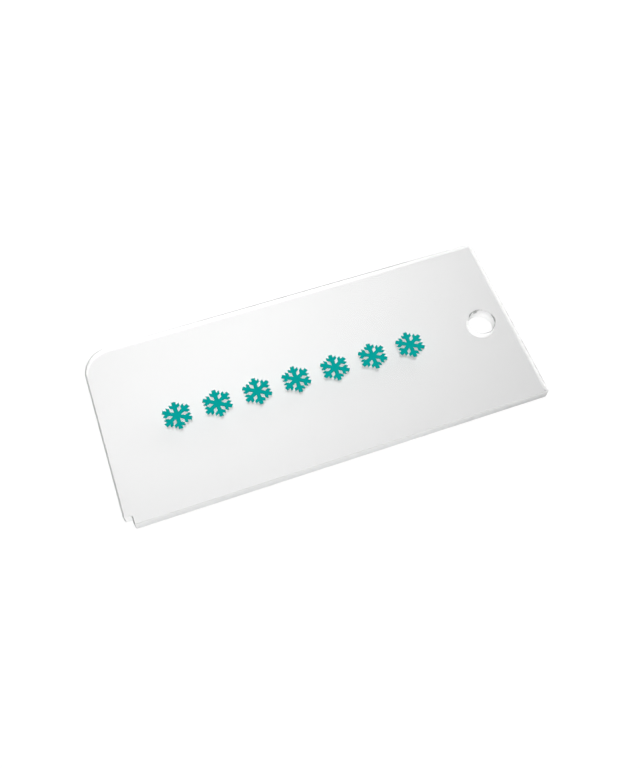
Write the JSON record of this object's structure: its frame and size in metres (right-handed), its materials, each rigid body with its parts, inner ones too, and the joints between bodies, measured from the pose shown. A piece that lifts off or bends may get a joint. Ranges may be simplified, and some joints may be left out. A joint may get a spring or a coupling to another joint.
{
  "type": "ski wax scraper",
  "caption": "Flat clear acrylic blade for scraping ski wax, with square scraping edges, a rounded corner, a notched corner, a hanging hole and a printed row of snow crystals.",
  "frame": {"origin": "middle of the blade's underside", "axes": "+X along the blade towards the hanging hole, +Y across it towards the side with the rounded corner, +Z out of the printed face"},
  "size_m": [0.135, 0.06, 0.0041],
  "materials": {
    "clear_acrylic": "polished",
    "teal_ink": "satin"
  },
  "bodies": {
    "root": {"scraper_blade": "clear_acrylic", "print_crystal_1": "teal_ink", "print_crystal_2": "teal_ink", "print_crystal_3": "teal_ink", "print_crystal_4": "teal_ink", "print_crystal_5": "teal_ink", "print_crystal_6": "teal_ink", "print_crystal_7": "teal_ink"}
  },
  "joints": []
}
